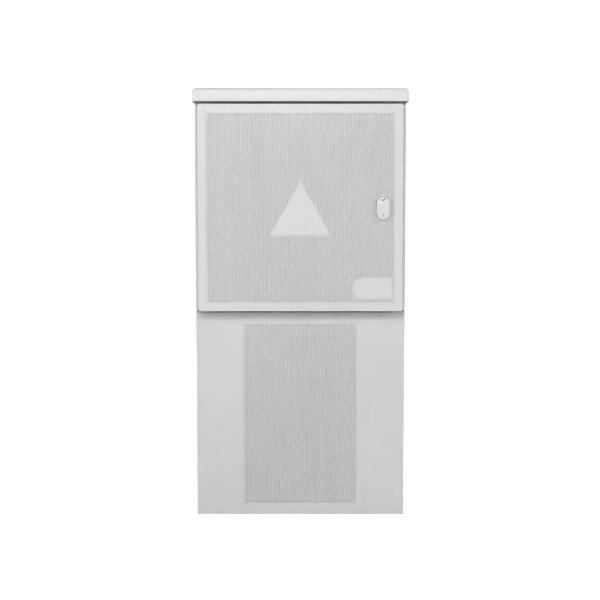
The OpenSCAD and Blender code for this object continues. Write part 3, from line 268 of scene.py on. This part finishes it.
# bare copper with brown tarnish and faint draw lines
copperFinish = {
    "bright": (0.80, 0.44, 0.28), "tarnish": (0.42, 0.24, 0.16), "rough": 0.30,
    "bloom": {"scale": 22.0, "detail": 8, "distortion": 0.8, "range": (0.42, 0.74),
              "dullRange": (0.35, 0.75), "dull": (0, 0.22)},
    "drawn": {"scale": 60.0, "detail": 2, "stretch": (0.4, 8, 8), "strength": 0.12, "depth": 0.0001},
}


def copperMaterial(name):
    look = copperFinish["bloom"]
    mat, tree, shader = newMaterial(name)
    coords = objectCoords(tree)
    bloom = noiseFrom(tree, coords, look)
    tarnished = rangeOf(tree, bloom, look["range"])
    color = tinted(tree, tarnished, copperFinish["bright"], copperFinish["tarnish"])
    tree.links.new(color, shader.inputs["Base Color"])
    shader.inputs["Metallic"].default_value = 1.0
    dullBy(tree, shader, bloom, copperFinish["rough"], look)
    bumpFrom(tree, coords, shader, [copperFinish["drawn"]])
    return mat


# moulded insulating plastics, rubber and ceramic
plasticFinish = {
    "slate": {"color": (0.090, 0.098, 0.106), "rough": 0.52, "grain": 1100.0, "depth": 0.00008},
    "dark": {"color": (0.022, 0.023, 0.025), "rough": 0.46, "grain": 1300.0, "depth": 0.00008},
    "rubber": {"color": (0.016, 0.016, 0.017), "rough": 0.78, "grain": 420.0, "depth": 0.0002},
    "ceramic": {"color": (0.74, 0.71, 0.62), "rough": 0.22, "grain": 160.0, "depth": 0.00006},
    "cloud": {"scale": 18.0, "detail": 5, "range": (0.3, 0.7), "low": 0.90, "high": 1.12,
              "dullRange": (0.3, 0.7), "dull": (-0.05, 0.08)},
    "grainDetail": 2, "grainStrength": 0.3,
}


def plasticMaterial(name, kind):
    own = plasticFinish[kind]
    look = plasticFinish["cloud"]
    mat, tree, shader = newMaterial(name)
    coords = objectCoords(tree)
    cloud = noiseFrom(tree, coords, look)
    color = tinted(tree, rangeOf(tree, cloud, look["range"]), shadeOf(own["color"], look["low"]),
                   shadeOf(own["color"], look["high"]))
    tree.links.new(color, shader.inputs["Base Color"])
    dullBy(tree, shader, cloud, own["rough"], look)
    grain = {"scale": own["grain"], "detail": plasticFinish["grainDetail"],
             "strength": plasticFinish["grainStrength"], "depth": own["depth"]}
    bumpFrom(tree, coords, shader, [grain])
    return mat


# dark smoked plastic of the panes
windowFinish = {
    "color": (0.034, 0.037, 0.040), "low": 0.9, "rough": 0.24,
    "haze": {"scale": 40.0, "detail": 4, "dullRange": (0.3, 0.7), "dull": (0, 0.12)},
}


def windowMaterial(name):
    mat, tree, shader = newMaterial(name)
    coords = objectCoords(tree)
    haze = noiseFrom(tree, coords, windowFinish["haze"])
    low = shadeOf(windowFinish["color"], windowFinish["low"])
    tree.links.new(tinted(tree, haze, low, windowFinish["color"]), shader.inputs["Base Color"])
    dullBy(tree, shader, haze, windowFinish["rough"], windowFinish["haze"])
    return mat


# ribbed fields on the fronts of the door and the plinth: half width, end margin and depths, in metres,
# and the painted shade of their crests
fieldLook = {
    "door": {"half": 0.2655, "end": 0.0255, "shade": (0.795, 0.797, 0.800)},
    "plinth_front": {"half": 0.1615, "end": 0.034, "shade": (0.838, 0.840, 0.843)},
    "deep": 0.0006, "crestDrop": 0.0002, "slack": 0.0001,
}


def fieldOf(node):
    low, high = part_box(node)
    look = fieldLook[node]
    return {"halfWidth": look["half"], "low": low[2] + look["end"], "high": high[2] - look["end"],
            "faceY": low[1] + fieldLook["crestDrop"], "deep": fieldLook["deep"],
            "slack": fieldLook["slack"], "shade": look["shade"]}


finishes = {
    "moulded_body": mouldedMaterial("paleMoulding", "body"),
    "moulded_door": mouldedMaterial("doorMoulding", "door", fieldOf("door")),
    "moulded_plinth": mouldedMaterial("plinthMoulding", "plinth", fieldOf("plinth_front")),
    "zinc_steel": zincMaterial("zincSheet", "sheet"),
    "zinc_fastener": zincMaterial("zincFastener", "fastener"),
    "lock_steel": zincMaterial("lockSteel", "lock"),
    "seal_rubber": plasticMaterial("sealRubber", "rubber"),
    "copper_bar": copperMaterial("bareCopper"),
    "slate_plastic": plasticMaterial("slatePlastic", "slate"),
    "dark_plastic": plasticMaterial("darkPlastic", "dark"),
    "fuse_ceramic": plasticMaterial("fuseCeramic", "ceramic"),
}
windowPlastic = windowMaterial("windowPlastic")
bladeSilver = zincMaterial("bladeSilver", "blade")
for name, node in nodes.items():
    node.data.materials.clear()
    node.data.materials.append(finishes[slotOf[name]])
print("materials made")


# dressed copies: a node's own form with its sharp edges rounded, in metres
edgeRounding = {
    "roof": 0.0004, "left_wall": 0.0012, "right_wall": 0.0012, "rear_wall": 0.0008, "front_frame": 0.0010,
    "escutcheon": 0.0010, "lock_cover": 0.0011, "lock_cover_pin": 0.0003, "lock_case": 0.0006,
    "upper_hinge_arm": 0.0005, "lower_hinge_arm": 0.0005, "upper_hinge_bracket": 0.0005,
    "lower_hinge_bracket": 0.0005, "upper_rod_guide": 0.0004, "lower_rod_guide": 0.0004,
    "mounting_plate": 0.0006, "plate_posts": 0.0006, "busbar_l1": 0.0006, "busbar_l2": 0.0006,
    "busbar_l3": 0.0006, "busbar_supports": 0.0008, "pen_bar": 0.0006, "pen_supports": 0.0008,
    "plinth_left": 0.0012, "plinth_right": 0.0012, "cable_rail": 0.0005, "rail_brackets": 0.0006,
    "cable_saddles": 0.0007, "fuse_base_1": 0.0008, "fuse_base_2": 0.0008, "fuse_base_3": 0.0008,
    "fuse_lid_1": 0.0007, "fuse_lid_2": 0.0007, "fuse_lid_3": 0.0007, "door_seal": 0.0012,
    "fuse_links_1": 0.0010, "fuse_links_2": 0.0010, "fuse_links_3": 0.0010,
    "roof_screws": 0.0004, "wall_bolts": 0.0004, "hinge_bolts": 0.0004, "door_screws": 0.0003,
    "plate_nuts": 0.0004, "pen_bolts": 0.0004, "plinth_bolts": 0.0004, "joint_bolts": 0.0004,
    "saddle_bolts": 0.0004, "lock_spindle": 0.0004, "lock_pinion": 0.0002, "upper_rod": 0.0003,
    "lower_rod": 0.0003, "fuse_jaws": 0.0003, "upper_hinge_pin": 0.0004, "lower_hinge_pin": 0.0004,
}
# mouldings and drilled sheets, where only the long square edges are rounded
longEdged = (
    "left_wall", "right_wall", "rear_wall", "front_frame", "mounting_plate", "pen_bar",
    "plinth_left", "plinth_right", "fuse_base_1", "fuse_base_2", "fuse_base_3",
)
# angles in degrees, lengths in metres
dressing = {
    "sharpAngle": 35.0, "flatAngle": 0.4, "squareAngle": 65.0, "smoothAngle": 32.0,
    "mergeDistance": 1e-6, "longEdge": 0.03, "segments": 2,
}


# the node's mesh with merged corners and whole flat faces
def mergedNode(name):
    bm = bmesh.new()
    bm.from_mesh(nodes[name].data)
    bmesh.ops.remove_doubles(bm, verts=bm.verts, dist=dressing["mergeDistance"])
    bmesh.ops.dissolve_limit(bm, angle_limit=math.radians(dressing["flatAngle"]),
                             use_dissolve_boundaries=False, verts=bm.verts, edges=bm.edges)
    return bm


def sharpEdges(bm):
    limit = math.radians(dressing["sharpAngle"])
    return [edge for edge in bm.edges if len(edge.link_faces) == 2 and edge.calc_face_angle(0) > limit]


def longSquare(edge):
    square = edge.calc_face_angle(0) > math.radians(dressing["squareAngle"])
    return square and edge.calc_length() > dressing["longEdge"]


def roundEdges(bm, edges, width):
    bmesh.ops.bevel(bm, geom=edges, offset=width, offset_type="OFFSET", affect="EDGES",
                    segments=dressing["segments"], profile=0.5, material=-1, clamp_overlap=True)


def finishPiece(bm, name, mats, body, replaced=None):
    mesh = bpy.data.meshes.new(name)
    bm.to_mesh(mesh)
    bm.free()
    for mat in mats:
        mesh.materials.append(mat)
    mesh.polygons.foreach_set("use_smooth", [True] * len(mesh.polygons))
    mesh.set_sharp_from_angle(angle=math.radians(dressing["smoothAngle"]))
    piece = bpy.data.objects.new(name, mesh)
    bpy.context.scene.collection.objects.link(piece)
    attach(piece, body)
    if replaced:
        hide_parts(replaced)


def dressNode(name, width):
    bm = mergedNode(name)
    before = bm.calc_volume(signed=True)
    edges = [edge for edge in sharpEdges(bm) if name not in longEdged or longSquare(edge)]
    roundEdges(bm, edges, width)
    kept = bm.calc_volume(signed=True) / before
    print("dressed", name, "faces", len(bm.faces), "volume kept", round(kept, 4))
    return bm


# fuse links: ceramic bodies between two heights, with silvered blades above and below, in metres
linkLook = {"bodyLow": 0.814, "bodyHigh": 0.866, "slack": 0.0001}


# the blades' faces take the second material
def silverBlades(bm):
    for face in bm.faces:
        height = face.calc_center_median().z
        face.material_index = int(height < linkLook["bodyLow"] - linkLook["slack"]
                                  or height > linkLook["bodyHigh"] + linkLook["slack"])


for name, width in edgeRounding.items():
    bm = dressNode(name, width)
    mats = [finishes[slotOf[name]]]
    if name.startswith("fuse_links"):
        silverBlades(bm)
        mats.append(bladeSilver)
    finishPiece(bm, name + "_dressed", mats, bodyOf[name], name)
print("nodes dressed:", len(edgeRounding))


# smoked panes in the three windows of each fuse lid, in metres
paneLook = {
    "pitch": 0.033, "width": 0.0179, "low": 0.79405, "high": 0.81995,
    "front": 0.0250, "back": 0.0264, "rounding": 0.0004,
}


def makePanes(lid):
    low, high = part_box(lid)
    middle = (low[0] + high[0]) / 2
    size = (paneLook["width"], paneLook["back"] - paneLook["front"], paneLook["high"] - paneLook["low"])
    centre = Vector((middle, paneLook["front"] + size[1] / 2, paneLook["low"] + size[2] / 2))
    bm = bmesh.new()
    for step in (-1, 0, 1):
        made = bmesh.ops.create_cube(bm, size=1.0)["verts"]
        bmesh.ops.scale(bm, vec=size, verts=made)
        bmesh.ops.translate(bm, vec=centre + Vector((step * paneLook["pitch"], 0, 0)), verts=made)
    roundEdges(bm, bm.edges[:], paneLook["rounding"])
    finishPiece(bm, lid + "_panes", [windowPlastic], bodyOf[lid])


for lid in ("fuse_lid_1", "fuse_lid_2", "fuse_lid_3"):
    makePanes(lid)
print("panes made")


# thin dark rubber gasket under the lock cover, which also paints the shaded gap around the cover as a
# dark line, in metres
shadeGasketLook = {"past": 0.0012, "under": 0.002, "thick": 0.0002, "steps": 24}


# outline of a slot on end: two half rounds joined by straight sides
def longRound(bm, centre, half, straight):
    steps = shadeGasketLook["steps"]
    turns = [math.pi * i / steps for i in range(steps + 1)]
    upper = [(math.cos(turn) * half, straight + math.sin(turn) * half) for turn in turns]
    points = upper + [(-x, -z) for x, z in upper]
    verts = [bm.verts.new(centre + Vector((x, 0, z))) for x, z in points]
    return [bm.edges.new((vert, verts[i - 1])) for i, vert in enumerate(verts)]


# painted shade: the dark ring stands in for the shade in the gap around the lock cover
def makeShadeGasket():
    low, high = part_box("lock_cover")
    half = (high[0] - low[0]) / 2
    straight = (high[2] - low[2]) / 2 - half
    centre = Vector(((low[0] + high[0]) / 2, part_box("escutcheon")[0][1], (low[2] + high[2]) / 2))
    bm = bmesh.new()
    loops = longRound(bm, centre, half + shadeGasketLook["past"], straight)
    loops += longRound(bm, centre, half - shadeGasketLook["under"], straight)
    ring = bmesh.ops.bridge_loops(bm, edges=loops)["faces"]
    raised = bmesh.ops.extrude_face_region(bm, geom=ring, use_keep_orig=True)["geom"]
    bmesh.ops.translate(bm, vec=(0, -shadeGasketLook["thick"], 0),
                        verts=[part for part in raised if isinstance(part, bmesh.types.BMVert)])
    bmesh.ops.recalc_face_normals(bm, faces=bm.faces)
    finishPiece(bm, "cover_shade_gasket", [finishes["seal_rubber"]], "door")


# small rubber stop near the foot of the lock cover, in metres
stopLook = {"drop": 0.0196, "radius": 0.0014, "length": 0.0012, "proud": 0.0003, "segments": 24}


def makeStop():
    low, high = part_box("lock_cover")
    middle = Vector(((low[0] + high[0]) / 2, low[1] - stopLook["proud"] + stopLook["length"] / 2,
                     (low[2] + high[2]) / 2 - stopLook["drop"]))
    bm = bmesh.new()
    bmesh.ops.create_cone(bm, cap_ends=True, segments=stopLook["segments"], depth=stopLook["length"],
                          radius1=stopLook["radius"], radius2=stopLook["radius"],
                          matrix=Matrix.Translation(middle) @ Matrix.Rotation(math.pi / 2, 4, "X"))
    finishPiece(bm, "cover_stop", [finishes["seal_rubber"]], "lock_cover")


makeShadeGasket()
makeStop()
print("lock cover trimmed: gasket and stop")


# studio: pale floor, white surround that darkens overhead, three soft lights at the front and one behind
studio = {
    "floorSize": 60.0, "floorColor": (0.80, 0.80, 0.80), "floorRough": 0.8, "floorGlow": 0.90,
    "surroundLow": 0.22, "surroundHigh": 0.08, "surroundRise": (0, 0.9),
    "surroundSide": 3.0, "sideRange": (0.75, 1.0), "surroundSeen": 1.2,
    "target": (0.0, -0.1, 0.75),
    "lights": [
        {"name": "leftSoftbox", "place": (-2.9, -2.3, 1.55), "size": 1.7, "power": 38.5},
        {"name": "rightSoftbox", "place": (2.9, -2.3, 1.50), "size": 1.7, "power": 35.0},
        {"name": "keySoftbox", "place": (-0.45, -3.6, 2.50), "size": 1.2, "power": 74.0},
        {"name": "rearSoftbox", "place": (0.8, 3.6, 2.6), "size": 1.8, "power": 90.0},
    ],
}


# the floor glows to the eye only, so that it meets the surround without a line
def makeFloor():
    bm = bmesh.new()
    bmesh.ops.create_grid(bm, x_segments=1, y_segments=1, size=studio["floorSize"] / 2)
    mesh = bpy.data.meshes.new("floor")
    bm.to_mesh(mesh)
    bm.free()
    floor = bpy.data.objects.new("floor", mesh)
    bpy.context.scene.collection.objects.link(floor)
    mat, tree, shader = newMaterial("paleFloor")
    shader.inputs["Base Color"].default_value = (*studio["floorColor"], 1)
    shader.inputs["Roughness"].default_value = studio["floorRough"]
    shader.inputs["Emission Color"].default_value = (1, 1, 1, 1)
    path = addNode(tree, "ShaderNodeLightPath")
    glow = rangeOf(tree, path.outputs["Is Camera Ray"], (0, 1), (0, studio["floorGlow"]))
    tree.links.new(glow, shader.inputs["Emission Strength"])
    mesh.materials.append(mat)


# white to the eye, and a soft light that is stronger from the sides than from overhead
def makeSurround():
    world = bpy.data.worlds.new("whiteSurround")
    world.use_nodes = True
    bpy.context.scene.world = world
    tree = world.node_tree
    back = tree.nodes["Background"]
    back.inputs["Color"].default_value = (1, 1, 1, 1)
    axes = axesOf(tree, addNode(tree, "ShaderNodeTexCoord").outputs["Generated"])
    levels = (studio["surroundLow"], studio["surroundHigh"])
    overhead = rangeOf(tree, axes[2], studio["surroundRise"], levels)
    sideways = mathOf(tree, "ABSOLUTE", axes[0], 0)
    side = rangeOf(tree, sideways, studio["sideRange"], (0, studio["surroundSide"]))
    mix = addNode(tree, "ShaderNodeMix", data_type="FLOAT")
    tree.links.new(addNode(tree, "ShaderNodeLightPath").outputs["Is Camera Ray"], mix.inputs["Factor"])
    tree.links.new(mathOf(tree, "ADD", overhead, side), mix.inputs["A"])
    mix.inputs["B"].default_value = studio["surroundSeen"]
    tree.links.new(mix.outputs["Result"], back.inputs["Strength"])


def makeLights():
    for light in studio["lights"]:
        data = bpy.data.lights.new(light["name"], "AREA")
        data.shape = "SQUARE"
        data.size = light["size"]
        data.energy = light["power"]
        lamp = bpy.data.objects.new(light["name"], data)
        bpy.context.scene.collection.objects.link(lamp)
        lamp.location = light["place"]
        lamp.visible_camera = False
        aim = Vector(studio["target"]) - lamp.location
        lamp.rotation_euler = aim.to_track_quat("-Z", "Y").to_euler()


bpy.context.scene.view_settings.view_transform = "Standard"
makeFloor()
makeSurround()
makeLights()
print("studio lit")
